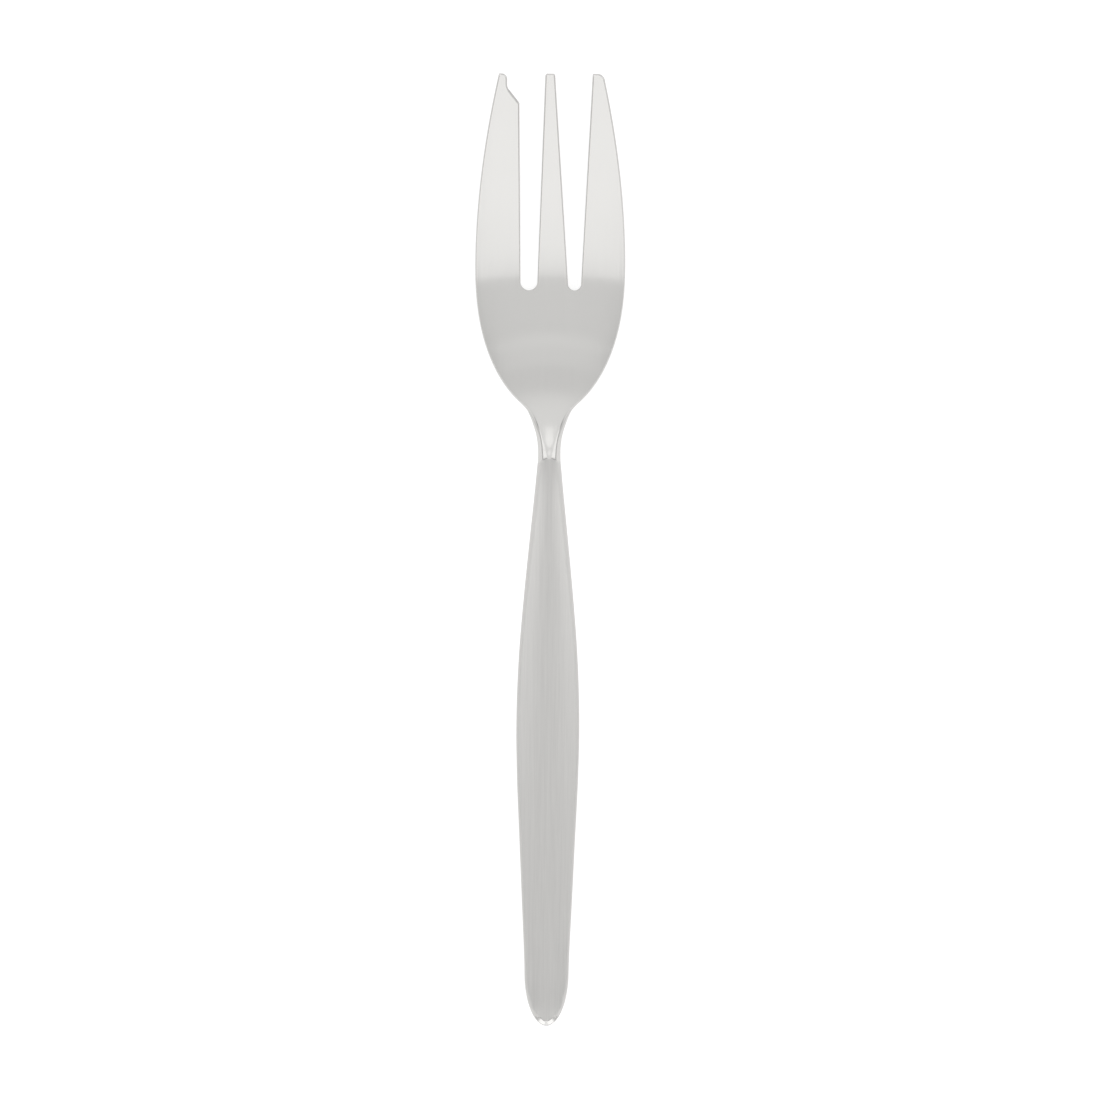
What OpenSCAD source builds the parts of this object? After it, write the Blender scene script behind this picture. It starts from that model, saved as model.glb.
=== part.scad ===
/* [Lengths along the fork] */
// From the end of the handle to the shoulder where the neck starts
handle_len = 89; // [70:1:120]
// From the shoulder to the foot of the bowl
neck_len = 7; // [5:0.5:12]
// From the foot of the bowl to its widest place
bowl_len = 24; // [18:1:32]
// From the widest place to the tips of the tines
finger_len = 30; // [24:1:40]
// Depth of the slots between the tines, measured from the tips
tine_len = 34; // [26:1:40]
// Length of the rounded end of the handle
end_len = 8; // [5:0.5:12]

/* [Widths] */
// Handle at its widest
handle_w = 9.9; // [7:0.1:14]
// Handle where its rounded end begins
end_w = 6.8; // [5:0.1:10]
// Neck at its narrowest
neck_w = 3.6; // [2.8:0.1:5]
// Head at its widest
head_w = 23.7; // [20:0.1:28]
// Across all three tips
tips_w = 16.5; // [15:0.1:19]

/* [Heights] */
// Underside of the handle above the table, at the top of its arch
arch_h = 9.1; // [4:0.1:14]
// Underside of the tips above the table
tip_h = 9.4; // [4:0.1:14]

/* [Thickness and edges] */
// Sheet at the edge of the handle
handle_edge_t = 1; // [0.7:0.05:1.6]
// Rise of the handle's crowned top over its edges
crown_h = 1.1; // [0.5:0.05:2]
// Bulge of the handle's underside below its edges
belly_h = 0.2; // [0.1:0.05:0.6]
// Edge of the neck, which is nearly round in section
neck_edge_t = 1.8; // [1.4:0.05:2.6]
// Bulge of the neck above and below its edges
neck_crown_h = 0.4; // [0.2:0.05:0.8]
// Sheet at the bowl
bowl_t = 1.4; // [1:0.05:2]
// Sheet at the tips of the tines
tip_t = 1.05; // [0.7:0.05:1.6]
// Hollow of the bowl below its rims
dish_h = 0.4; // [0.2:0.05:1]
// Step from the crowned handle down to the neck
shoulder_h = 0.12; // [0.05:0.01:0.3]
// Rounded edges of handle, bowl and tines, seen from above
edge_w = 0.5; // [0.3:0.05:0.8]
// Rounded edges of the neck, seen from above
neck_edge_w = 0.9; // [0.6:0.05:1.2]

/* [Tines] */
// Middle tine at its root
mid_root_w = 4.9; // [3.5:0.1:6]
// Middle tine at its tip
mid_tip_w = 1.6; // [1.2:0.1:2.4]
// Middle of the middle tine at its root, off the centre line
mid_root_x = 0.4; // [-0.6:0.1:0.6]
// Middle of the middle tine at its tip, off the centre line
mid_tip_x = -0.15; // [-0.6:0.05:0.6]
// Slot beside the cutting tine, at its root
cut_slot_root_w = 2.6; // [1.6:0.1:3.4]
// Slot beside the cutting tine, at the tips
cut_slot_tip_w = 4.05; // [3:0.05:4.6]
// Slot beside the plain tine, at its root
plain_slot_root_w = 2; // [1.4:0.1:3]
// Slot beside the plain tine, at the tips
plain_slot_tip_w = 5.85; // [4.5:0.05:6.2]
// Radius of the small corners of the middle tip
tip_r = 0.4; // [0.2:0.05:0.6]
// Radius of the outer corner of the plain tine
corner_r = 1.2; // [0.6:0.1:1.5]

/* [Cutting tine] */
// Length of the slanted cut, along the fork
nick_len = 2.4; // [1.5:0.1:4]
// Depth of the slanted cut, in from the slot
nick_w = 1.9; // [1.2:0.1:2.2]
// Length of the point that stands beyond the slanted cut
point_len = 2.2; // [1.2:0.1:3]
// Radius of the inner corner of the point
point_r = 0.9; // [0.4:0.1:1]
// Radius where the slanted cut runs into the point
nick_r = 1.5; // [0.5:0.1:2]
// Width of the ground bevel along the slanted cut
bevel_w = 0.5; // [0.3:0.05:0.9]

/* [Hidden] */

// Places along the fork, from the end of the handle
shoulder_y = handle_len;
foot_y = shoulder_y + neck_len;
wide_y = foot_y + bowl_len;
tip_y = wide_y + finger_len;
root_y = tip_y - tine_len;
// The bowl touches the table here: share of bowl_len from its foot
rest_share = 0.7;
rest_y = foot_y + rest_share * bowl_len;

// Swelling of the handle: share of its length, share of the rise from end_w to handle_w
swell_shares = [[0, 0], [0.11, 0.07], [0.22, 0.35], [0.33, 0.63], [0.44, 0.91], [0.54, 1]];
// Taper to the neck: share of the handle's length, share of the rise from neck_w to handle_w
taper_shares = [[0.65, 0.9], [0.76, 0.66], [0.87, 0.36], [0.95, 0.13], [1, 0]];
// Half width of the neck and its flare: share of neck_len, share of neck_w
neck_shares = [[0, 0.5], [0.3, 0.5], [0.6, 0.58], [0.85, 0.73], [1, 0.84], [1.25, 1.08]];
// Rounded corner where the flare meets the bowl, as a share of neck_w
blend_share = 0.2;
// Powers of the oval that bounds the bowl, along it and across it
bowl_power = 2.3;
bowl_fullness = 0.58;
// Power of the curve by which the outer tines close towards the tips
closing_power = 1.88;

// Underside of the handle: share of its length, share of arch_h
arch_shares = [[0, 0.03], [0.03, 0.0005], [0.07, 0.07], [0.15, 0.235], [0.3, 0.505], [0.45, 0.73],
    [0.6, 0.89], [0.73, 0.97], [0.83, 0.99], [0.92, 0.95], [0.96, 0.889]];
// Underside from the shoulder to the resting place: share of that run, share of arch_h
fall_shares = [[0, 0.77], [0.084, 0.664], [0.168, 0.533], [0.26, 0.405], [0.38, 0.272], [0.525, 0.15],
    [0.69, 0.06], [0.86, 0.012]];
// Underside from the resting place to the tips: share of that run, share of tip_h
rise_shares = [[0, 0], [0.15, 0.032], [0.35, 0.2], [0.6, 0.5], [0.8, 0.752], [1, 1]];
// Place where the hollow of the bowl is deepest: share of bowl_len from its foot
hollow_share = 0.45;
// What is left of the hollow at the tips
tine_hollow_share = 0.35;
// Middle of the bowl's underside that is flat across, so that the fork lies without rocking
flat_share = 0.4;
// Arch of the shoulder line and length of its step, as shares of neck_w
shoulder_arch_share = 0.22;
shoulder_run_share = 0.04;
// Thickness that the very ends of the tips keep
tip_end_share = 0.5;
// Slope of the ground bevel
bevel_angle = 35;

// Sections along each stretch
end_steps = 10;
handle_steps = 26;
neck_steps = 9;
bowl_steps = 22;
finger_steps = 18;
tip_steps = 3;
// Places across each rounded edge, and across the face between them
edge_steps = 3;
face_steps = 10;
// Points along the arc of the slanted cut
arc_steps = 6;
// Overrun of the cuts past the metal
over = bowl_t;

function between(a, b, t) = a + (b - a) * t;
// Quarter circle that climbs from 0 to 1 over run
function round_in(t, run) = sqrt(1 - (1 - min(1, t / run)) ^ 2);
// Larger of two widths, with a rounded corner where they cross
function blend(a, b, r) = max(a, b) + max(0, r - abs(a - b)) ^ 2 / (4 * r);
// Smooth curve through rows of [place, value]
function row_slope(rows, i) =
    let (a = rows[max(0, i - 1)], b = rows[min(len(rows) - 1, i + 1)])
    (b[1] - a[1]) / (b[0] - a[0]);
function smooth(rows, place) =
    let (i = max([for (k = [0:len(rows) - 2]) if (k == 0 || rows[k][0] <= place) k]))
    let (a = rows[i], b = rows[i + 1], run = b[0] - a[0], t = min(1, (place - a[0]) / run))
    between(a[1], b[1], 3 * t ^ 2 - 2 * t ^ 3)
    + row_slope(rows, i) * run * t * (1 - t) ^ 2
    - row_slope(rows, i + 1) * run * t ^ 2 * (1 - t);

// Half width of the blank
handle_rows = concat(
    [for (s = swell_shares) [s[0] * handle_len, between(end_w, handle_w, s[1]) / 2]],
    [for (s = taper_shares) [s[0] * handle_len, between(neck_w, handle_w, s[1]) / 2]]);
neck_rows = [for (s = neck_shares) [shoulder_y + s[0] * neck_len, s[1] * neck_w]];
function bowl_half(y) =
    head_w / 2 * (1 - min(1, (wide_y - y) / bowl_len) ^ bowl_power) ^ bowl_fullness;
function finger_half(y) =
    between(head_w, tips_w, ((y - wide_y) / finger_len) ^ closing_power) / 2;
function half_width(y) =
    y <= shoulder_y ? smooth(handle_rows, y) * round_in(y, end_len)
    : y < wide_y ? blend(smooth(neck_rows, y), bowl_half(y), blend_share * neck_w)
    : finger_half(y);

// Height of the underside on the centre line
spine_rows = concat(
    [for (s = arch_shares) [s[0] * handle_len, s[1] * arch_h]],
    [for (s = fall_shares) [between(shoulder_y, rest_y, s[0]), s[1] * arch_h]],
    [for (s = rise_shares) [between(rest_y, tip_y, s[0]), s[1] * tip_h]]);

// Thickness at the edges, rise of the top between them and bulge of the underside
hollow_y = foot_y + hollow_share * bowl_len;
edge_rows = [[0, handle_edge_t], [handle_len / 2, handle_edge_t], [shoulder_y, neck_edge_t],
    [foot_y, neck_edge_t], [hollow_y, bowl_t], [wide_y, bowl_t], [tip_y, tip_t]];
top_rows = [[0, crown_h / 2], [handle_len / 2, crown_h], [shoulder_y, neck_crown_h], [foot_y, 0],
    [hollow_y, -dish_h], [tip_y, -tine_hollow_share * dish_h]];
belly_rows = [[0, belly_h], [handle_len / 2, belly_h], [shoulder_y, neck_crown_h], [foot_y, neck_crown_h],
    [hollow_y, dish_h], [tip_y, tine_hollow_share * dish_h]];
function edge_half(y) = smooth(edge_rows, y) / 2;
function top_rise(y) =
    (smooth(top_rows, y) + (y <= shoulder_y ? shoulder_h : 0)) * round_in(y, end_len) ^ 2;
function belly(y) = smooth(belly_rows, y) * round_in(y, end_len) ^ 2;
function flat_at(y) = flat_share * max(0, min(1, (y - foot_y) / (hollow_y - foot_y)));
// Width of the rounded edges
edge_w_rows = [[0, edge_w], [handle_len / 2, edge_w], [shoulder_y, neck_edge_w], [foot_y, neck_edge_w],
    [hollow_y, edge_w], [tip_y, edge_w]];
function edge_run(y) = smooth(edge_w_rows, y);
// The edge rounds off at both ends of the fork, fully at the handle and in part at the tips
function end_round(y) =
    let (past = max(0, 1 - (tip_y - y) / edge_half(y)))
    round_in(y, edge_half(y)) * sqrt(1 - (1 - tip_end_share ^ 2) * past ^ 2);
function middle_z(y) = smooth(spine_rows, y) + belly(y) + edge_half(y);
function top_z(x, y) = middle_z(y) + edge_half(y) + top_rise(y) * (1 - (x / half_width(y)) ^ 2);

// Sections lie close together where the outline turns fast
shoulder_run = shoulder_run_share * neck_w;
tip_run = tip_t / 2;
stations = concat(
    [for (i = [1:end_steps]) end_len * (1 - cos(90 * i / end_steps))],
    [for (i = [1:handle_steps]) between(end_len, shoulder_y, i / handle_steps)],
    [for (i = [0:neck_steps - 1]) between(shoulder_y + shoulder_run, foot_y, i / neck_steps)],
    [for (i = [0:bowl_steps - 1]) between(foot_y, wide_y, (i / bowl_steps) ^ 1.5)],
    [for (i = [0:finger_steps - 1]) between(wide_y, tip_y - tip_run, i / finger_steps)],
    [for (i = [0:tip_steps]) tip_y - tip_run * (1 - sin(90 * i / tip_steps))]);

// Places across a section: share of the face, share of the rounded edge
places = concat(
    [for (i = [0:edge_steps - 1]) [-1, -cos(90 * i / edge_steps)]],
    [for (i = [0:face_steps]) [2 * i / face_steps - 1, 0]],
    [for (i = [edge_steps - 1:-1:0]) [1, cos(90 * i / edge_steps)]]);

// One point of a section, on the top (side 1) or underneath (side -1)
function skin_point(y, place, side) =
    let (w = half_width(y), r = min(edge_run(y), w))
    let (x = place[0] * (w - r) + place[1] * r, u = x / w)
    let (at_shoulder = y >= shoulder_y && y <= shoulder_y + shoulder_run ? 1 : 0)
    let (edge = edge_half(y) * end_round(y) * sqrt(1 - place[1] ^ 2))
    let (flat = side > 0 ? 0 : flat_at(y), off = max(0, abs(u) - flat) / (1 - flat))
    let (bulge = (side > 0 ? top_rise(y) : belly(y)) * (1 - off ^ 2))
    [x, y - at_shoulder * shoulder_arch_share * neck_w * u ^ 2, middle_z(y) + side * (edge + bulge)];

// A section runs over the top from left to right and back underneath
last = len(places) - 1;
ring_len = 2 * last;
function section(y) = concat(
    [for (p = places) skin_point(y, p, 1)],
    [for (k = [last - 1:-1:1]) skin_point(y, places[k], -1)]);

// The blank before its slots are cut: sections joined into one skin, with a pole at the handle's end
module formed_blank() {
    rings = len(stations);
    points = concat([[0, 0, middle_z(0)]], [for (y = stations) each section(y)]);
    function at(ring, k) = 1 + ring * ring_len + (k + ring_len) % ring_len;
    end_fan = [for (k = [0:ring_len - 1]) [0, at(0, k), at(0, k + 1)]];
    skin = [for (i = [0:rings - 2], k = [0:ring_len - 1])
        each [[at(i, k), at(i + 1, k), at(i + 1, k + 1)], [at(i, k), at(i + 1, k + 1), at(i, k + 1)]]];
    tip_cap = [for (k = [0:last - 1])
        each [[at(rings - 1, k), at(rings - 1, -k), at(rings - 1, k + 1)],
            [at(rings - 1, k + 1), at(rings - 1, -k), at(rings - 1, -k - 1)]]];
    polyhedron(points, concat(end_fan, skin, tip_cap));
}

// Slot that widens from its round bottom towards the tips
module slot(root_x, root_w, tip_x, tip_w) {
    bottom_y = root_y + root_w / 2;
    past = (tip_y + over - bottom_y) / (tip_y - bottom_y);
    end_x = between(root_x, tip_x, past);
    end_w = between(root_w, tip_w, past);
    translate([root_x, bottom_y]) circle(d = root_w, $fn = 48);
    polygon([[root_x - root_w / 2, bottom_y], [root_x + root_w / 2, bottom_y],
        [end_x + end_w / 2, tip_y + over], [end_x - end_w / 2, tip_y + over]]);
}

// What a corner of radius r at the tip's end loses, with its outer side at x and side 1 or -1
module corner(x, r, side) {
    translate([x - side * r, tip_y - r]) difference() {
        translate([side > 0 ? 0 : -r - over, 0]) square(r + over);
        circle(r, $fn = 48);
    }
}

// Inner edge of the cutting tine, its slanted cut and the point beyond
heel_x = mid_tip_x - mid_tip_w / 2 - cut_slot_tip_w;
heel_y = tip_y - point_len - nick_len;
point_x = heel_x - nick_w;
nick_turn = atan(nick_w / nick_len);
module nick() {
    arc_x = point_x + nick_r;
    arc_y = tip_y - point_len + nick_r * tan(nick_turn / 2);
    arc = [for (i = [0:arc_steps]) let (a = 180 + nick_turn * (1 - i / arc_steps))
        [arc_x + nick_r * cos(a), arc_y + nick_r * sin(a)]];
    polygon(concat([[heel_x + over, heel_y - over * nick_len / nick_w]], arc,
        [[point_x, tip_y + over], [heel_x + over, tip_y + over]]));
}

// Wedge that grinds the bevel off the upper edge of the slanted cut
module bevel() {
    cut_len = norm([nick_w, nick_len]);
    climb = atan((top_z(heel_x, tip_y) - top_z(heel_x, heel_y)) / (tip_y - heel_y));
    translate([heel_x, heel_y, top_z(heel_x, heel_y)]) rotate([climb, 0, 0]) rotate(90 + nick_turn)
        translate([-over, 0, 0]) rotate([90, 0, 90]) linear_extrude(cut_len + over)
            polygon([[bevel_w, 0], [bevel_w, over], [-over, over],
                [-over, -(bevel_w + over) * tan(bevel_angle)]]);
}

module fork() {
    color("silver") translate([0, -tip_y / 2, 0]) difference() {
        formed_blank();
        translate([0, 0, -over]) linear_extrude(tip_h + bowl_t + 2 * over) {
            slot(mid_root_x - (mid_root_w + cut_slot_root_w) / 2, cut_slot_root_w,
                mid_tip_x - (mid_tip_w + cut_slot_tip_w) / 2, cut_slot_tip_w);
            slot(mid_root_x + (mid_root_w + plain_slot_root_w) / 2, plain_slot_root_w,
                mid_tip_x + (mid_tip_w + plain_slot_tip_w) / 2, plain_slot_tip_w);
            corner(mid_tip_x - mid_tip_w / 2, tip_r, -1);
            corner(mid_tip_x + mid_tip_w / 2, tip_r, 1);
            corner(half_width(tip_y - corner_r), corner_r, 1);
            corner(point_x, point_r, 1);
            nick();
        }
        bevel();
    }
}

fork();
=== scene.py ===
import math

import bpy
import numpy as np
from mathutils.geometry import delaunay_2d_cdt
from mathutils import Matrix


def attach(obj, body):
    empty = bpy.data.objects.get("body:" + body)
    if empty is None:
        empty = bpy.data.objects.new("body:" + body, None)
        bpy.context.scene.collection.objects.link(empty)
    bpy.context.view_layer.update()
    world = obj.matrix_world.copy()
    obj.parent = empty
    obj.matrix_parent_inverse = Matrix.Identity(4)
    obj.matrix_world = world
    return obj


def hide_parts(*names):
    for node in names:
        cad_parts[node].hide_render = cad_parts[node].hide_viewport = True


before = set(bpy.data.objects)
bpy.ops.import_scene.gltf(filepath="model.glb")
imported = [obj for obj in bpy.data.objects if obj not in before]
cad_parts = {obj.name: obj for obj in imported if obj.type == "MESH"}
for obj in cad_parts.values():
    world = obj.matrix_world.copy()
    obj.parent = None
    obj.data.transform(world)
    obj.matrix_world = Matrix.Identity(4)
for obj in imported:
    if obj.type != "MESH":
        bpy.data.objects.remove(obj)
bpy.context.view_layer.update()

# Camera first. It looks straight down with the tips at the top of the picture, from far off,
# so that the raised handle and tines keep the outline they have in plan.
cameraView = {
    "lens": 1000,           # mm, a long lens
    "sensor": 36,           # mm
    "frameWidth": 0.1733,   # m that the picture takes in
    "aim": (0.0002, 0.0, 0.005),    # m, middle of the picture
    "turn": 0.3,            # degrees that the fork leans in the picture
    "clipStart": 0.1,       # m from the camera
    "clipEndShare": 4,      # of the camera's distance
}


def placeCamera(view):
    data = bpy.data.cameras.new("topCamera")
    data.lens, data.sensor_width = view["lens"], view["sensor"]
    distance = view["lens"] * view["frameWidth"] / view["sensor"]
    data.clip_start, data.clip_end = view["clipStart"], view["clipEndShare"] * distance
    camera = bpy.data.objects.new("topCamera", data)
    x, y, z = view["aim"]
    camera.location = (x, y, z + distance)
    camera.rotation_euler = (0, 0, math.radians(view["turn"]))
    bpy.context.scene.collection.objects.link(camera)
    bpy.context.scene.camera = camera


placeCamera(cameraView)
print("camera placed")

# The fork in mm, with the names and values of the part's source. X runs across to the plain tine,
# Y from the end of the handle to the tips, Z up from the table.
forkSizes = {
    # lengths along the fork
    "handleLen": 89, "neckLen": 7, "bowlLen": 24, "fingerLen": 30, "tineLen": 34, "endLen": 8,
    # widths
    "handleW": 9.9, "endW": 6.8, "neckW": 3.6, "headW": 23.7, "tipsW": 16.5,
    # heights of the underside over the table
    "archH": 9.1, "tipH": 9.4,
    # thickness and edges
    "handleEdgeT": 1, "crownH": 1.1, "bellyH": 0.2, "neckEdgeT": 1.8, "neckCrownH": 0.4,
    "bowlT": 1.4, "tipT": 1.05, "dishH": 0.4, "shoulderH": 0.12, "edgeW": 0.5, "neckEdgeW": 0.9,
    # tines
    "midRootW": 4.9, "midTipW": 1.6, "midRootX": 0.4, "midTipX": -0.15,
    "cutSlotRootW": 2.6, "cutSlotTipW": 4.05, "plainSlotRootW": 2, "plainSlotTipW": 5.85,
    "tipR": 0.4, "cornerR": 1.2,
    # cutting tine
    "nickLen": 2.4, "nickW": 1.9, "pointLen": 2.2, "pointR": 0.9, "nickR": 1.5,
    # shares and powers, as in the source
    "restShare": 0.7, "hollowShare": 0.45, "tineHollowShare": 0.35, "flatShare": 0.4,
    "blendShare": 0.2, "bowlPower": 2.3, "bowlFullness": 0.58, "closingPower": 1.88,
    "shoulderArchShare": 0.22,
    "swellShares": [[0, 0], [0.11, 0.07], [0.22, 0.35], [0.33, 0.63], [0.44, 0.91], [0.54, 1]],
    "taperShares": [[0.65, 0.9], [0.76, 0.66], [0.87, 0.36], [0.95, 0.13], [1, 0]],
    "neckShares": [[0, 0.5], [0.3, 0.5], [0.6, 0.58], [0.85, 0.73], [1, 0.84], [1.25, 1.08]],
    "archShares": [[0, 0.03], [0.03, 0.0005], [0.07, 0.07], [0.15, 0.235], [0.3, 0.505], [0.45, 0.73],
                   [0.6, 0.89], [0.73, 0.97], [0.83, 0.99], [0.92, 0.95], [0.96, 0.889]],
    "fallShares": [[0, 0.77], [0.084, 0.664], [0.168, 0.533], [0.26, 0.405], [0.38, 0.272], [0.525, 0.15],
                   [0.69, 0.06], [0.86, 0.012]],
    "riseShares": [[0, 0], [0.15, 0.032], [0.35, 0.2], [0.6, 0.5], [0.8, 0.752], [1, 1]],
    # from here on the values are this file's own: small radii that stamping leaves on corners which the
    # source keeps sharp
    "burrR": 0.2, "heelR": 0.35,
    # the longer and softer step that polishing leaves at the shoulder, and how much of it is still satin
    "shoulderRunShare": 0.5, "satinShare": 0.2,
    # width of the rounded edges: near the handle's end rows of [mm from it, share of edgeW], then a share of
    # neckEdgeW just before the bowl's foot, and the crisp edge of the ground head from just past it
    "endEdgeShares": [[0, 1.6], [4, 1.3], [10, 1]], "neckEdgeShare": 0.8, "neckEdgeBefore": 1,
    "headEdgeAfter": 3, "headEdgeW": 0.26,
    # at a tight corner the edge is this share of its radius, up to this many radii away, and gains this
    # much per mm beyond
    "cornerEdgeShare": 0.8, "cornerReachShare": 1.2, "cornerGain": 0.4,
    # ground bevel on the slanted cut: width, slope in degrees, how much wider than the rounded edge it may
    # be, margins past the slot's wall and past the point, lengths over which it fades in at the heel and
    # out at the point
    "bevelW": 0.36, "bevelAngle": 42, "bevelGain": 0.2, "bevelPastWall": 0.2, "bevelPastPoint": 0.1,
    "bevelFadeIn": 0.3, "bevelFadeOut": 0.8,
    # polished bevel round the handle's end: width, slope in degrees, where it is gone, the share of that
    # over which it fades, and the share of it that is polished
    "endBevelW": 0.75, "endBevelAngle": 31, "endBevelTo": 2.8, "endFadeShare": 0.7, "endPolishShare": 0.48,
    # the largest share of the half thickness that a bevel takes
    "bevelDropShare": 0.9,
    # mesh, outline: widest and finest spacing, spacing as a share of the local radius, step and span in
    # steps by which bends are measured, and closer spacing where the shoulder crosses the outline
    "outlineStep": 0.3, "fineStep": 0.06, "radiusShare": 0.125, "denseStep": 0.02, "bendSpan": 4,
    "crossingBack": 0.4, "crossingHalf": 0.6, "crossingGain": 0.25,
    # mesh, edge: rings from its middle to the face
    "edgeRings": 8,
    # mesh, faces: lattice spacing, its first row, room that it keeps from the edge
    "faceStep": 0.6, "faceStart": 0.3, "faceRoomShare": 0.4,
    # mesh, shoulder: rows before the step, on it and past it, spacing along them, room that they keep from
    # the edge, and room that the lattice keeps from them
    "seamBefore": [-0.6, -0.3, -0.12], "seamRows": 11, "seamPast": [0.25, 0.6], "seamStep": 0.1,
    "seamRoom": 0.07, "seamClear": 0.8,
}
fs = forkSizes
shoulderY = fs["handleLen"]
footY = shoulderY + fs["neckLen"]
wideY = footY + fs["bowlLen"]
tipY = wideY + fs["fingerLen"]
rootY = tipY - fs["tineLen"]
restY = footY + fs["restShare"] * fs["bowlLen"]
hollowY = footY + fs["hollowShare"] * fs["bowlLen"]
batches = 20  # long arrays are worked through in this many parts, to save memory
tiny = 1e-3  # keeps divisions off zero; in mm, also half the step over which slopes are taken


def between(a, b, t):
    # Straight line from a at t = 0 to b at t = 1
    return a + (b - a) * t


def smoothStep(t):
    # 3t^2 - 2t^3, held at 0 and 1 outside
    t = np.clip(t, 0, 1)
    return t * t * (3 - 2 * t)


def smoothRows(rows, place):
    # Cubic Hermite curve through rows of [place, value]; its slope at a row is that of the line
    # from the row before to the row after
    at, value = np.array(rows, float).T
    order = np.arange(len(at))
    before, after = np.maximum(order - 1, 0), np.minimum(order + 1, len(at) - 1)
    slope = (value[after] - value[before]) / (at[after] - at[before])
    i = np.clip(np.searchsorted(at, place, side="right") - 1, 0, len(at) - 2)
    run = at[i + 1] - at[i]
    t = np.minimum(1, (place - at[i]) / run)
    return (between(value[i], value[i + 1], 3 * t**2 - 2 * t**3)
            + run * (slope[i] * t * (1 - t)**2 - slope[i + 1] * t**2 * (1 - t)))


def roundIn(t, run):
    # Quarter circle: climbs from 0 at the end to 1 at run
    return np.sqrt(1 - (1 - np.clip(t / run, 0, 1))**2)


handleRows = ([[a * shoulderY, between(fs["endW"], fs["handleW"], b) / 2] for a, b in fs["swellShares"]]
              + [[a * shoulderY, between(fs["neckW"], fs["handleW"], b) / 2] for a, b in fs["taperShares"]])
neckRows = [[shoulderY + a * fs["neckLen"], b * fs["neckW"]] for a, b in fs["neckShares"]]
spineRows = ([[a * shoulderY, b * fs["archH"]] for a, b in fs["archShares"]]
             + [[between(shoulderY, restY, a), b * fs["archH"]] for a, b in fs["fallShares"]]
             + [[between(restY, tipY, a), b * fs["tipH"]] for a, b in fs["riseShares"]])
edgeRows = [[0, fs["handleEdgeT"]], [shoulderY / 2, fs["handleEdgeT"]], [shoulderY, fs["neckEdgeT"]],
            [footY, fs["neckEdgeT"]], [hollowY, fs["bowlT"]], [wideY, fs["bowlT"]], [tipY, fs["tipT"]]]
topRows = [[0, fs["crownH"] / 2], [shoulderY / 2, fs["crownH"]], [shoulderY, fs["neckCrownH"]], [footY, 0],
           [hollowY, -fs["dishH"]], [tipY, -fs["tineHollowShare"] * fs["dishH"]]]
bellyRows = [[0, fs["bellyH"]], [shoulderY / 2, fs["bellyH"]], [shoulderY, fs["neckCrownH"]],
             [footY, fs["neckCrownH"]], [hollowY, fs["dishH"]], [tipY, fs["tineHollowShare"] * fs["dishH"]]]
edgeRunRows = ([[y, share * fs["edgeW"]] for y, share in fs["endEdgeShares"]]
               + [[shoulderY / 2, fs["edgeW"]], [shoulderY, fs["neckEdgeW"]],
                  [footY - fs["neckEdgeBefore"], fs["neckEdgeShare"] * fs["neckEdgeW"]],
                  [footY + fs["headEdgeAfter"], fs["headEdgeW"]], [tipY, fs["headEdgeW"]]])


def halfWidth(y):
    # Handle from its rows, rounded in at the end; then the neck's rows and the bowl's oval, whichever is
    # wider, with a small rounded corner where they cross; then the outer tines closing towards the tips
    handle = smoothRows(handleRows, y) * roundIn(y, fs["endLen"])
    neck = smoothRows(neckRows, np.maximum(y, shoulderY))
    ahead = np.clip((wideY - y) / fs["bowlLen"], 0, 1)
    bowl = fs["headW"] / 2 * (1 - ahead ** fs["bowlPower"]) ** fs["bowlFullness"]
    corner = fs["blendShare"] * fs["neckW"]
    head = np.maximum(neck, bowl) + np.maximum(0, corner - abs(neck - bowl))**2 / (4 * corner)
    past = np.clip((y - wideY) / fs["fingerLen"], 0, 1)
    fingers = between(fs["headW"], fs["tipsW"], past ** fs["closingPower"]) / 2
    return np.where(y <= shoulderY, handle, np.where(y < wideY, head, fingers))


def faceHeights(x, y):
    # Lower and upper face before the edges are rounded. Between them the sheet is edgeRows thick at the
    # rims, and both bulge as 1 - u^2 across, u being x over the half width, but the bowl's underside has a
    # flat middle. The shoulder is a small step in the upper face along an arc.
    u = np.clip(x / np.maximum(halfWidth(y), tiny), -1, 1)
    ending = roundIn(y, fs["endLen"])**2
    low = smoothRows(spineRows, y)
    thick = smoothRows(edgeRows, y)
    belly = smoothRows(bellyRows, y) * ending
    stepY = shoulderY - fs["shoulderArchShare"] * fs["neckW"] * u**2
    step = fs["shoulderH"] * (1 - smoothStep((y - stepY) / (fs["shoulderRunShare"] * fs["neckW"])))
    rise = (smoothRows(topRows, y) + step) * ending
    flat = fs["flatShare"] * np.clip((y - footY) / (hollowY - footY), 0, 1)
    off = np.maximum(0, abs(u) - flat) / (1 - flat)
    upper = low + belly + thick + rise * (1 - u**2)
    lower = low + belly - belly * (1 - off**2)
    return lower, upper


def faceNormals(x, y, side):
    # Unit normal of a face from its slopes: the rise over two tiny steps, one to either side, over both
    gx = (faceHeights(x + tiny, y)[side] - faceHeights(x - tiny, y)[side]) / (2 * tiny)
    gy = (faceHeights(x, y + tiny)[side] - faceHeights(x, y - tiny)[side]) / (2 * tiny)
    up = 1 if side else -1
    n = np.stack([-gx * up, -gy * up, np.full_like(gx, up)], -1)
    return n / np.linalg.norm(n, axis=-1, keepdims=True)


def line(a, b, n):
    # Straight run of points from a to b
    t = np.linspace(0, 1, n)[:, None]
    return np.array(a) * (1 - t) + np.array(b) * t


def arc(centre, radius, start, end, n):
    # Run of points on a circle, from angle start to angle end in degrees
    a = np.radians(np.linspace(start, end, n))
    return np.stack([centre[0] + radius * np.cos(a), centre[1] + radius * np.sin(a)], -1)


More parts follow.
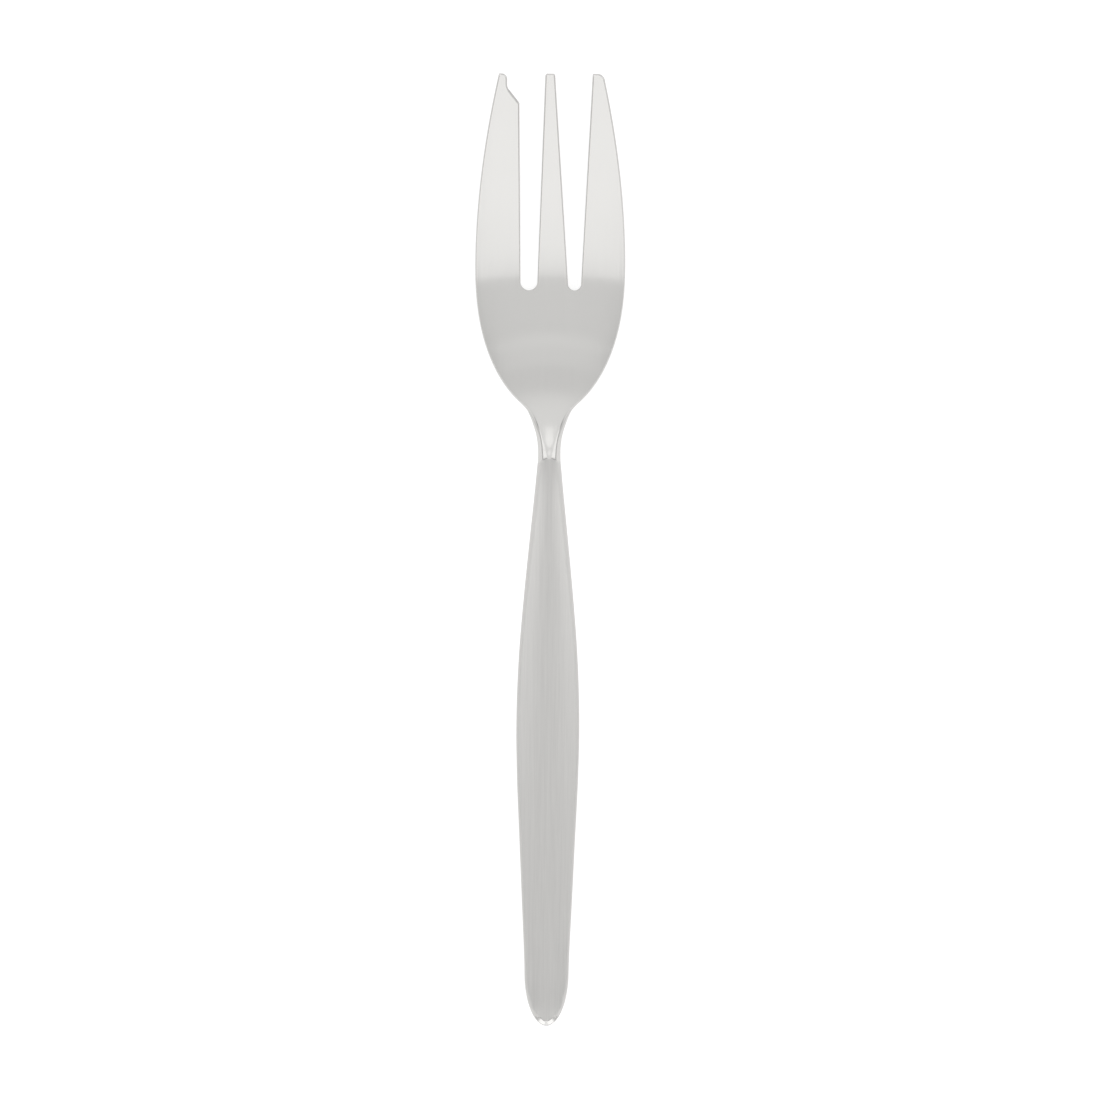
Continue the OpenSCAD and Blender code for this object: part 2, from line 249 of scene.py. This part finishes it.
def joinStretches(stretches):
    # One closed outline from (points, radius) pairs. The corner after a stretch is cut back by
    # radius / tan(half the corner's angle) on both sides and bridged by a tangent arc.
    bridgePoints = 40
    pastCut = 1.001  # a point this little past the cut would crowd the arc's end, so it goes too
    runs = [points for points, radius in stretches]
    corners = []
    for k, (points, radius) in enumerate(stretches):
        k2 = (k + 1) % len(runs)
        if not radius:
            runs[k] = runs[k][:-1]
            continue
        corner = points[-1]
        back, ahead = points[-2] - corner, stretches[k2][0][1] - corner
        back, ahead = back / np.linalg.norm(back), ahead / np.linalg.norm(ahead)
        halfAngle = math.acos(np.clip(back @ ahead, -1, 1)) / 2
        cut = radius / math.tan(halfAngle)
        middle = corner + (back + ahead) / np.linalg.norm(back + ahead) * radius / math.sin(halfAngle)
        start, end = corner + back * cut - middle, corner + ahead * cut - middle
        a, b = math.atan2(start[1], start[0]), math.atan2(end[1], end[0])
        turn = (b - a + math.pi) % (2 * math.pi) - math.pi
        bridge = arc(middle, radius, math.degrees(a), math.degrees(a + turn), bridgePoints)
        for i in (k, k2):
            runs[i] = runs[i][np.linalg.norm(runs[i] - corner, axis=1) > cut * pastCut]
        runs[k] = np.concatenate([runs[k], bridge])
        if turn > 0:
            corners.append((*corner, radius))
    return np.concatenate(runs), np.array(corners)


def spaceOut(outline):
    # The same closed outline with points as far apart as its curvature asks: radiusShare of the local
    # radius, between fineStep and outlineStep, and close together where the shoulder crosses it
    loop = np.concatenate([outline, outline[:1]])
    along = np.concatenate([[0], np.cumsum(np.linalg.norm(np.diff(loop, axis=0), axis=1))])
    n = int(along[-1] / fs["denseStep"])
    span = fs["bendSpan"]
    s = np.arange(n) / n * along[-1]
    dense = np.stack([np.interp(s, along, loop[:, i]) for i in (0, 1)], -1)
    ahead = np.roll(dense, -span, 0) - np.roll(dense, span, 0)
    heading = np.arctan2(ahead[:, 1], ahead[:, 0])
    turned = (np.roll(heading, -span) - np.roll(heading, span) + math.pi) % (2 * math.pi) - math.pi
    bend = abs(turned) / (2 * span * fs["denseStep"])
    for shift in (1, 2, 4, 8):  # the tightest bend within the 15 steps either way
        bend = np.maximum(bend, np.maximum(np.roll(bend, shift), np.roll(bend, -shift)))
    gap = np.clip(fs["radiusShare"] / np.maximum(bend, tiny), fs["fineStep"], fs["outlineStep"])
    beyond = abs(dense[:, 1] - shoulderY + fs["crossingBack"]) - fs["crossingHalf"]
    gap = np.minimum(gap, np.maximum(fs["fineStep"], fs["crossingGain"] * beyond))
    count = np.concatenate([[0], np.cumsum(along[-1] / n / gap)])
    total = int(round(count[-1]))
    at = np.interp(np.arange(total) / total * count[-1], count, np.append(s, along[-1]))
    return np.stack([np.interp(at, along, loop[:, i]) for i in (0, 1)], -1)


def forkOutline():
    # The fork in plan, anticlockwise from the handle's end: right side, plain tine, slot, middle tine,
    # slot, cutting tine with its heel, slanted cut and point, left side
    endPoints, sidePoints, wallPoints, rootPoints, tipPoints, cutPoints = 400, 3000, 900, 200, 60, 90
    y = np.concatenate([fs["endLen"] * (1 - np.cos(np.linspace(0, np.pi / 2, endPoints))),
                        np.linspace(fs["endLen"], tipY, sidePoints)[1:]])
    side = np.stack([halfWidth(y), y], -1)
    midRight = fs["midTipX"] + fs["midTipW"] / 2
    midLeft = fs["midTipX"] - fs["midTipW"] / 2
    plainIn, cutIn = midRight + fs["plainSlotTipW"], midLeft - fs["cutSlotTipW"]
    plainR, cutR = fs["plainSlotRootW"] / 2, fs["cutSlotRootW"] / 2
    plainX = fs["midRootX"] + fs["midRootW"] / 2 + plainR
    cutX = fs["midRootX"] - fs["midRootW"] / 2 - cutR
    plainY, cutY = rootY + plainR, rootY + cutR
    # the heel is where the slot's wall meets the slanted cut
    heelY = tipY - fs["pointLen"] - fs["nickLen"]
    slant, lean = fs["nickW"] / fs["nickLen"], (cutIn - cutX + cutR) / (tipY - cutY)
    meetY = (cutIn + slant * heelY - (cutX - cutR) + lean * cutY) / (lean + slant)
    heel = (cutX - cutR + lean * (meetY - cutY), meetY)
    pointX, pointY = cutIn - fs["nickW"], tipY - fs["pointLen"]
    return joinStretches([
        (side, fs["cornerR"]),
        (line((side[-1, 0], tipY), (plainIn, tipY), tipPoints), fs["burrR"]),
        (line((plainIn, tipY), (plainX + plainR, plainY), wallPoints), 0),
        (arc((plainX, plainY), plainR, 0, -180, rootPoints), 0),
        (line((plainX - plainR, plainY), (midRight, tipY), wallPoints), fs["tipR"]),
        (line((midRight, tipY), (midLeft, tipY), tipPoints), fs["tipR"]),
        (line((midLeft, tipY), (cutX + cutR, cutY), wallPoints), 0),
        (arc((cutX, cutY), cutR, 0, -180, rootPoints), 0),
        (line((cutX - cutR, cutY), heel, wallPoints), fs["heelR"]),
        (line(heel, (pointX, pointY), cutPoints), fs["nickR"]),
        (line((pointX, pointY), (pointX, tipY), tipPoints), fs["pointR"]),
        (line((pointX, tipY), (-side[-1, 0], tipY), tipPoints), fs["burrR"]),
        (side[::-1] * [-1, 1], 0)])


def weldedNormals(grid):
    # Unit normals of a closed band of points, rows along the profile and columns round the outline:
    # the cross product of the way along the outline and the way up the profile
    along = np.roll(grid, -1, 1) - np.roll(grid, 1, 1)
    up = np.gradient(grid, axis=0)
    n = np.cross(along, up)
    return n / np.linalg.norm(n, axis=-1, keepdims=True)


def edgeBand(outline, corners):
    # Rounded edge carried along the outline. Across it a quarter ellipse above and one below: at angle a
    # it lies w (1 - cos a) in from the outline and sin a of the half thickness off the middle. w shrinks at
    # tight corners. On the slanted cut and round the handle's end the upper quarter is a bevel, a straight
    # slope of bevelAngle or endBevelAngle instead.
    before, after = outline - np.roll(outline, 1, 0), np.roll(outline, -1, 0) - outline
    a, b = np.linalg.norm(before, axis=1)[:, None], np.linalg.norm(after, axis=1)[:, None]
    way = before / a * b + after / b * a
    way /= np.linalg.norm(way, axis=1)[:, None]
    inward = np.stack([-way[:, 1], way[:, 0]], -1)
    width = smoothRows(edgeRunRows, outline[:, 1])
    for x, y, radius in corners:
        away = np.linalg.norm(outline - (x, y), axis=1) - fs["cornerReachShare"] * radius
        width = np.minimum(width, fs["cornerEdgeShare"] * radius + fs["cornerGain"] * np.maximum(0, away))
    heelX = fs["midTipX"] - fs["midTipW"] / 2 - fs["cutSlotTipW"]
    heelY, pointY = tipY - fs["pointLen"] - fs["nickLen"], tipY - fs["pointLen"]
    past = fs["bevelPastPoint"]
    onCut = outline[:, 0] < heelX + fs["bevelPastWall"]
    onCut = (onCut & (outline[:, 0] > heelX - fs["nickW"] - past)).astype(float)
    onCut *= smoothStep((outline[:, 1] - heelY + past) / fs["bevelFadeIn"])
    onCut *= smoothStep((pointY + past - outline[:, 1]) / fs["bevelFadeOut"])
    onEnd = smoothStep((fs["endBevelTo"] - outline[:, 1]) / (fs["endFadeShare"] * fs["endBevelTo"]))
    width = between(width, np.minimum(width + fs["bevelGain"], fs["bevelW"]), onCut)
    width = between(width, fs["endBevelW"], onEnd)
    angle = between(fs["bevelAngle"], fs["endBevelAngle"], onEnd)
    bevelled = onCut + onEnd
    rings = fs["edgeRings"]
    turn = np.radians(90 * np.arange(rings + 1) / rings)[:, None]
    inset, rise = 1 - np.cos(turn), np.sin(turn)
    lower, upper = faceHeights(outline[:, 0], outline[:, 1])
    drop = np.minimum(fs["bevelDropShare"], width * np.tan(np.radians(angle)) / ((upper - lower) / 2))
    bevelInset = np.clip((np.arange(rings + 1) - 1) / (rings - 1), 0, 1)[:, None]
    bevelRise = np.where(np.arange(rings + 1)[:, None] == 0, 0, between(1 - drop, 1, bevelInset))
    grid = []
    for k in range(-rings, rings + 1):
        j, side = abs(k), (k > 0) - (k < 0)
        into, off = inset[j] + 0 * width, rise[j] + 0 * width
        if side > 0:
            into, off = between(into, bevelInset[j], bevelled), between(off, bevelRise[j], bevelled)
        p = outline + inward * (width * into)[:, None]
        low, high = faceHeights(p[:, 0], p[:, 1])
        grid.append(np.stack([p[:, 0], p[:, 1], (low + high) / 2 + side * off * (high - low) / 2], -1))
    grid = np.array(grid)
    normals = weldedNormals(grid)
    for k, side in ((0, 0), (-1, 1)):
        normals[k] = faceNormals(grid[k, :, 0], grid[k, :, 1], side)
    return grid, normals


def isInside(points, loop):
    # Even-odd rule: a point is inside if a ray to +X crosses the loop an odd number of times
    a, b = loop, np.roll(loop, -1, 0)
    rise = b[:, 1] - a[:, 1]
    lean = (b[:, 0] - a[:, 0]) / np.where(rise == 0, 1, rise)
    inside = []
    for part in np.array_split(points, batches):
        x, y = part[:, :1], part[:, 1:]
        spans = (a[:, 1] > y) != (b[:, 1] > y)
        inside.append((spans & (x < a[:, 0] + (y - a[:, 1]) * lean)).sum(1) % 2 == 1)
    return np.concatenate(inside)


def facePoints(loop):
    # Points that fill the loop: a triangular lattice, and close rows along the shoulder's arc
    h = fs["faceStep"]
    rows = np.arange(fs["faceStart"], tipY, h * math.sqrt(3) / 2)
    across = np.arange(-fs["headW"] / 2, fs["headW"] / 2, h)
    x = across[None, :] + (np.arange(len(rows)) % 2)[:, None] * h / 2
    lattice = np.stack([x, np.broadcast_to(rows[:, None], x.shape)], -1).reshape(-1, 2)
    half = fs["neckW"] / 2
    bend = fs["shoulderArchShare"] * fs["neckW"]
    fromArc = lattice[:, 1] - shoulderY + bend * np.clip(lattice[:, 0] / half, -1, 1)**2
    run = fs["shoulderRunShare"] * fs["neckW"]
    clear = fs["seamClear"]
    lattice = lattice[(fromArc < -clear) | (fromArc > run + clear) | (abs(lattice[:, 0]) > half)]
    past = run + np.array(fs["seamPast"])
    off = np.concatenate([fs["seamBefore"], np.linspace(0, run, fs["seamRows"]), past])
    x = np.arange(-half, half, fs["seamStep"])
    y = shoulderY - bend * (x / half)**2 + off[:, None]
    seam = np.stack(np.broadcast_arrays(x, y), -1).reshape(-1, 2)
    points = []
    for these, room in ((lattice, fs["faceRoomShare"] * h), (seam, fs["seamRoom"])):
        for part in np.array_split(these[isInside(these, loop)], batches):
            away = np.sqrt(((part[:, None] - loop[None])**2).sum(-1)).min(1)
            points.append(part[away > room])
    return np.concatenate(points)


def buildFork():
    # The edge band's faces come first, row by row from the underside up, then the top and the bottom face,
    # each filled with triangles between the band's last row and facePoints
    weldWithin = 1e-7
    outline, corners = forkOutline()
    outline = spaceOut(outline)
    grid, edgeNormals = edgeBand(outline, corners)
    rowCount, n = grid.shape[:2]
    top, bottom = grid[-1, :, :2], grid[0, :, :2]
    print("outline", n, "points")
    verts, normals, faces = [grid.reshape(-1, 3)], [edgeNormals.reshape(-1, 3)], []
    k, i = np.meshgrid(np.arange(rowCount - 1), np.arange(n), indexing="ij")
    j = (i + 1) % n
    faces += np.stack([k * n + i, k * n + j, (k + 1) * n + j, (k + 1) * n + i], -1).reshape(-1, 4).tolist()
    used = rowCount * n
    for side, loop, first in ((1, top, (rowCount - 1) * n), (0, bottom, 0)):
        inner = facePoints(loop)
        flat = np.concatenate([loop, inner])
        ring = np.arange(n)
        edges = np.stack([ring, (ring + 1) % n], -1)
        filled = delaunay_2d_cdt(flat.tolist(), edges.tolist(), [], 0, weldWithin, True)
        source = np.array([ids[0] for ids in filled[3]])
        triangles = source[np.array(filled[2])]
        triangles = triangles[isInside(flat[triangles].mean(1), loop)]
        if len(triangles) != 2 * len(inner) + n - 2:
            raise RuntimeError("the face's triangulation added or lost points")
        p = flat[triangles]
        area = np.cross(p[:, 1] - p[:, 0], p[:, 2] - p[:, 0])
        triangles[area < 0] = triangles[area < 0][:, ::-1]
        triangles = np.where(triangles < n, triangles + first, triangles - n + used)
        faces += (triangles if side else triangles[:, ::-1]).tolist()
        z = faceHeights(inner[:, 0], inner[:, 1])[side]
        verts.append(np.column_stack([inner, z]))
        normals.append(faceNormals(inner[:, 0], inner[:, 1], side))
        used += len(inner)
    verts = (np.concatenate(verts) - (0, tipY / 2, 0)) / 1000
    mesh = bpy.data.meshes.new("forkSkin")
    mesh.from_pydata(verts.tolist(), [], faces)
    mesh.shade_smooth()
    mesh.normals_split_custom_set_from_vertices(np.concatenate(normals).tolist())
    fork = bpy.data.objects.new("forkSkin", mesh)
    bpy.context.scene.collection.objects.link(fork)
    print("fork has", len(verts), "points and", len(faces), "faces")
    return fork, fs["edgeRings"] * n


fork, halfBand = buildFork()  # halfBand: faces in the lower half of the edge band, and as many in the upper


def linear(code):
    # sRGB hex value to the linear colour that nodes take
    c = np.array([int(code[i:i + 2], 16) for i in (1, 3, 5)]) / 255
    return (*np.where(c <= 0.04045, c / 12.92, ((c + 0.055) / 1.055)**2.4), 1)


def addNode(tree, kind, inputs=None, rows=None, **settings):
    # One node with its settings; inputs maps sockets to values, or to the outputs that feed them,
    # and rows are a curve's points, as shares of its unit square
    node = tree.nodes.new(kind)
    for name, value in settings.items():
        setattr(node, name, value)
    for name, value in (inputs or {}).items():
        if isinstance(value, bpy.types.NodeSocket):
            tree.links.new(value, node.inputs[name])
        else:
            node.inputs[name].default_value = value
    if rows:
        points = node.mapping.curves[0].points
        while len(points) < len(rows):
            points.new(0.5, 0.5)
        for point, place in zip(points, rows):
            point.location, point.handle_type = place, "AUTO_CLAMPED"
        node.mapping.update()
    return node


# Stainless steel, cold stamped and then polished on a wheel, as on the head and the neck:
# a soft mirror with a faint lengthwise drag of the wheel and a slow unevenness
polishedSteel = {
    "name": "polishedStainlessSteel", "colour": "#CBCAC8", "roughness": 0.13, "anisotropic": 0.0,
    "lineWidth": 0.5,       # mm; real polishing lines are far finer, drawn coarse enough to show
    "lineLength": 16,       # mm
    "lineDepth": 0.0002,    # mm
    "toneSpread": 0.012, "roughnessSpread": 0.03,
    "waveWidth": 6, "waveDepth": 0.008,     # mm
}
# The same steel brushed lengthwise, as on the handle: the grain blurs reflections across the handle
# and leaves fine light and dark hairs along it. Its colour is a little lighter than the polished steel's:
# painted light that brightens the whole handle.
brushedSteel = {
    # colour: a little lighter than the polished steel's, painted light that brightens the whole handle
    "name": "brushedStainlessSteel", "colour": "#CFCECC", "roughness": 0.44, "anisotropic": 0.7,
    "lineWidth": 0.3,       # mm; real grit lines are 0.05 mm or less, too fine to show
    "lineLength": 12,       # mm
    "lineDepth": 0.0015,    # mm
    "toneSpread": 0.045, "roughnessSpread": 0.05,
    "waveWidth": 9, "waveDepth": 0.01,      # mm
}


def steelMaterial(look):
    material = bpy.data.materials.new(look["name"])
    material.use_nodes = True
    tree = material.node_tree
    tree.nodes.clear()
    mm = 0.001
    low, high = 0.3, 0.7  # most of a noise lies between these
    place = addNode(tree, "ShaderNodeTexCoord").outputs["Object"]
    across, along = 1 / (look["lineWidth"] * mm), 1 / (look["lineLength"] * mm)
    stretched = addNode(tree, "ShaderNodeMapping", {
        "Vector": place, "Scale": (across, along, along)}).outputs[0]
    lines = addNode(tree, "ShaderNodeTexNoise", {
        "Vector": stretched, "Scale": 1.0, "Detail": 3.0, "Roughness": 0.6}).outputs[0]
    waves = addNode(tree, "ShaderNodeTexNoise", {
        "Vector": place, "Scale": 1 / (look["waveWidth"] * mm), "Detail": 1.0}).outputs[0]
    spread = look["toneSpread"]
    tone = addNode(tree, "ShaderNodeMapRange", {
        "Value": lines, "From Min": low, "From Max": high,
        "To Min": 1 - spread, "To Max": 1 + spread}).outputs[0]
    colour = addNode(tree, "ShaderNodeMix", {0: 1.0, 6: linear(look["colour"]), 7: tone},
                     data_type="RGBA", blend_type="MULTIPLY").outputs[2]
    spread = look["roughnessSpread"]
    roughness = addNode(tree, "ShaderNodeMapRange", {
        "Value": lines, "From Min": low, "From Max": high,
        "To Min": look["roughness"] - spread, "To Max": look["roughness"] + spread}).outputs[0]
    slow = addNode(tree, "ShaderNodeBump", {"Distance": look["waveDepth"] * mm, "Height": waves}).outputs[0]
    bump = addNode(tree, "ShaderNodeBump", {
        "Distance": look["lineDepth"] * mm, "Height": lines, "Normal": slow}).outputs[0]
    steel = addNode(tree, "ShaderNodeBsdfPrincipled", {
        "Base Color": colour, "Roughness": roughness, "Metallic": 1.0, "Normal": bump,
        "Anisotropic": look["anisotropic"]})
    if look["anisotropic"]:
        # the grain lies along Y, so the blur is widest along X
        grain = addNode(tree, "ShaderNodeCombineXYZ", {"X": 1.0}).outputs[0]
        tree.links.new(grain, steel.inputs["Tangent"])
    addNode(tree, "ShaderNodeOutputMaterial", {"Surface": steel.outputs[0]})
    return material


def finishFork(fork, halfBand):
    # Satin up to the shoulder's arc and satinShare of the step past it, polished beyond and on the bevel
    # round the handle's end
    mesh = fork.data
    for look in (polishedSteel, brushedSteel):
        mesh.materials.append(steelMaterial(look))
    middle = np.empty(3 * len(mesh.polygons))
    mesh.polygons.foreach_get("center", middle)
    x, y = middle.reshape(-1, 3).T[:2] * 1000
    y = y + tipY / 2
    seam = shoulderY - fs["shoulderArchShare"] * fs["neckW"] * np.minimum(1, abs(x) / (fs["neckW"] / 2))**2
    seam += fs["satinShare"] * fs["shoulderRunShare"] * fs["neckW"]
    order = np.arange(len(y))
    endBevel = (order >= halfBand) & (order < 2 * halfBand) & (y < fs["endPolishShare"] * fs["endBevelTo"])
    mesh.polygons.foreach_set("material_index", ((y < seam) & ~endBevel).astype(np.int32))
    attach(fork, "root")
    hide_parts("fork")


finishFork(fork, halfBand)
print("steel done")

# Studio: brightness of the white room as rows of (angle in degrees, brightness). A narrow strip runs
# overhead along the fork, by the tilt from straight up, towards the tips when positive. Beside it the
# brightness is ring, by the angle from the strip, times lengthwise, by the tilt, times belt, by the height
# over the horizon. Two panels stand to both sides of the strip, beyond the tips and beyond the grip.
studioLight = {
    "strip": [(-90, 0.7), (-83, 0.8), (-77, 1.3), (-66, 1.34), (-58, 1.36), (-48, 1.42), (-40, 1.42),
              (-32, 1.37), (-26, 1.35), (-21, 1.29), (-18, 1.23), (-15, 1.06), (-12, 0.99), (-8, 0.98),
              (6, 0.97), (8.5, 0.95), (11.5, 1.05), (16, 1.0), (24, 0.985), (28, 0.975), (31, 0.925),
              (42, 0.93), (46, 1.01), (49, 1.09), (57, 1.1), (61, 1.12), (66, 1.42), (69, 1.4),
              (74, 1.05), (80, 0.85), (90, 0.6)],
    "ring": [(0, 0.5), (12, 0.46), (24, 0.8), (36, 1.42), (50, 1.85), (64, 1.8), (90, 1.0)],
    "lengthwise": [(-90, 1.0), (-60, 0.95), (-42, 0.72), (-32, 0.8), (-24, 0.88), (-12, 0.95),
                   (0, 1.07), (20, 1.09), (34, 1.14), (44, 1.1), (60, 1.0), (90, 0.9)],
    "belt": [(0, 0.9), (6, 0.6), (14, 0.46), (30, 0.52), (46, 0.98), (60, 1.0), (90, 1.0)],
    "brightest": 3,             # top of the rows' scale
    "stripHalf": 7.5,           # degrees from the middle of the strip to its edge
    "stripFade": 4,             # degrees over which that edge fades
    "stripBend": 7,             # radians by which the strip's shades bow along it, per x squared
    "stripBendMost": 0.02,      # x squared past which they bow no further
    # panels: degrees where each starts, is full, starts to fall and ends, and to how far from the strip
    "tipsLight": 1.45, "tipsTilts": (53, 60, 78, 86), "tipsHalf": 27,
    "gripLight": 1.7, "gripTilts": (-55, -59, -73, -77), "gripHalf": 42,
    "panelFade": 8,             # degrees over which their outer edges fade
    "backdrop": 1.1,            # white paper as the camera sees it
    "tableHalf": 12,            # m
    "tableGlow": 0.76, "tableColour": "#A8A8A8",
}


def studioWorld(look):
    world = bpy.data.worlds.new("studio")
    bpy.context.scene.world = world
    world.use_nodes = True
    tree = world.node_tree
    tree.nodes.clear()
    way = addNode(tree, "ShaderNodeTexCoord").outputs["Generated"]
    axes = addNode(tree, "ShaderNodeSeparateXYZ", {0: way}).outputs
    across = addNode(tree, "ShaderNodeMath", {0: axes["X"]}, operation="ABSOLUTE").outputs[0]
    aside = addNode(tree, "ShaderNodeMath", {0: across}, operation="ARCSINE").outputs[0]
    height = addNode(tree, "ShaderNodeMath", {0: axes["Z"]}, operation="ARCSINE").outputs[0]
    tilt = addNode(tree, "ShaderNodeMath", {0: axes["Y"], 1: axes["Z"]}, operation="ARCTAN2").outputs[0]
    # bowed is the tilt less stripBend times x squared
    square = addNode(tree, "ShaderNodeMath", {0: across, 1: 2.0}, operation="POWER").outputs[0]
    held = addNode(tree, "ShaderNodeMath", {0: square, 1: look["stripBendMost"]},
                   operation="MINIMUM").outputs[0]
    bowed = addNode(tree, "ShaderNodeMath", {0: held, 1: -look["stripBend"], 2: tilt},
                    operation="MULTIPLY_ADD").outputs[0]
    lit = {}
    top = float(look["brightest"])
    for name, angle, low in (("strip", bowed, -90), ("lengthwise", tilt, -90),
                             ("ring", aside, 0), ("belt", height, 0)):
        share = addNode(tree, "ShaderNodeMapRange", {
            "Value": angle, "From Min": math.radians(low), "From Max": math.radians(90)}).outputs[0]
        places = [((degrees - low) / (90 - low), light / top) for degrees, light in look[name]]
        curve = addNode(tree, "ShaderNodeFloatCurve", {"Value": share}, places).outputs[0]
        lit[name] = addNode(tree, "ShaderNodeMath", {0: curve, 1: top}, operation="MULTIPLY").outputs[0]
    room = addNode(tree, "ShaderNodeMath", {0: lit["ring"], 1: lit["lengthwise"]},
                   operation="MULTIPLY").outputs[0]
    room = addNode(tree, "ShaderNodeMath", {0: room, 1: lit["belt"]}, operation="MULTIPLY").outputs[0]
    beside = (look["stripHalf"], look["stripHalf"] + look["stripFade"])
    share = addNode(tree, "ShaderNodeMapRange", {
        "Value": aside, "From Min": math.radians(beside[0]), "From Max": math.radians(beside[1])},
        interpolation_type="SMOOTHSTEP").outputs[0]
    light = addNode(tree, "ShaderNodeMix", {0: share, 2: lit["strip"], 3: room}).outputs[0]
    for name in ("tips", "grip"):
        # the panel's share: 1 inside it, fading to 0 over each of its edges
        start, full, falling, end = look[name + "Tilts"]
        half = look[name + "Half"]
        inside = 1.0
        for angle, low, high, first in ((tilt, start, full, 0.0), (tilt, falling, end, 1.0),
                                        (aside, *beside, 0.0), (aside, half, half + look["panelFade"], 1.0)):
            edge = addNode(tree, "ShaderNodeMapRange", {
                "Value": angle, "From Min": math.radians(low), "From Max": math.radians(high),
                "To Min": first, "To Max": 1 - first}, interpolation_type="SMOOTHSTEP").outputs[0]
            inside = addNode(tree, "ShaderNodeMath", {0: edge, 1: inside}, operation="MULTIPLY").outputs[0]
        light = addNode(tree, "ShaderNodeMix", {0: inside, 2: light, 3: look[name + "Light"]}).outputs[0]
    seen = addNode(tree, "ShaderNodeLightPath").outputs["Is Camera Ray"]
    strength = addNode(tree, "ShaderNodeMix", {0: seen, 2: light, 3: look["backdrop"]}).outputs[0]
    sky = addNode(tree, "ShaderNodeBackground", {"Color": (1, 1, 1, 1), "Strength": strength})
    addNode(tree, "ShaderNodeOutputWorld", {"Surface": sky.outputs[0]})
    bpy.context.scene.view_settings.view_transform = "Standard"


def lightTable(look):
    # Large white light table: it glows by itself, so the fork throws hardly any shadow on it
    mesh = bpy.data.meshes.new("lightTable")
    r = look["tableHalf"]
    mesh.from_pydata([(-r, -r, 0), (r, -r, 0), (r, r, 0), (-r, r, 0)], [], [(0, 1, 2, 3)])
    table = bpy.data.objects.new("lightTable", mesh)
    bpy.context.scene.collection.objects.link(table)
    material = bpy.data.materials.new("opalAcrylic")
    material.use_nodes = True
    tree = material.node_tree
    tree.nodes.clear()
    sheet = addNode(tree, "ShaderNodeBsdfDiffuse", {"Color": linear(look["tableColour"])})
    glow = addNode(tree, "ShaderNodeEmission", {"Strength": look["tableGlow"]})
    both = addNode(tree, "ShaderNodeAddShader", {0: sheet.outputs[0], 1: glow.outputs[0]})
    addNode(tree, "ShaderNodeOutputMaterial", {"Surface": both.outputs[0]})
    mesh.materials.append(material)


studioWorld(studioLight)
lightTable(studioLight)
print("light and table done")
